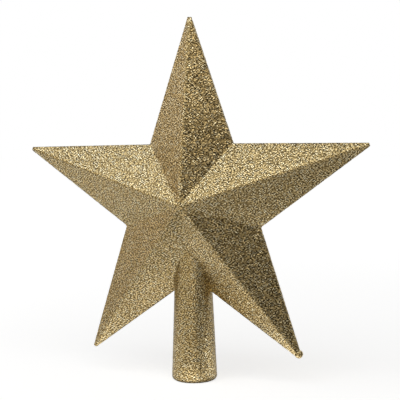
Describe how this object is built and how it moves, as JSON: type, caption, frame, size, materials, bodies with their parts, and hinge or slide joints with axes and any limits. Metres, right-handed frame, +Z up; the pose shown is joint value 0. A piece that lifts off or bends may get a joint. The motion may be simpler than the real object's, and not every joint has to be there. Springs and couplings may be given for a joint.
{
  "type": "christmas tree topper star",
  "caption": "Hollow faceted star with a gold glitter coat, on a tapered socket tube that slips over the top shoot of a Christmas tree.",
  "frame": {"origin": "centre of the socket's mouth, on the tube's axis, at the lowest point of its coated lip", "axes": "+Z up along the tube to the star's top point; the star's front faces -Y; +X to the right seen from the front; the rim lies in the plane Y = 0"},
  "size_m": [0.185, 0.0438, 0.19],
  "materials": {
    "star_plastic": "moulded gold plastic, bare on the inside",
    "socket_plastic": "moulded gold plastic, bare in the bore",
    "glitter": "champagne gold metallised film glitter in clear glue"
  },
  "bodies": {
    "root": {"front_shell": "star_plastic", "back_shell": "star_plastic", "socket_tube": "socket_plastic", "front_glitter_coat": "glitter", "back_glitter_coat": "glitter", "socket_glitter_coat": "glitter", "tip_drip": "glitter"}
  },
  "joints": []
}
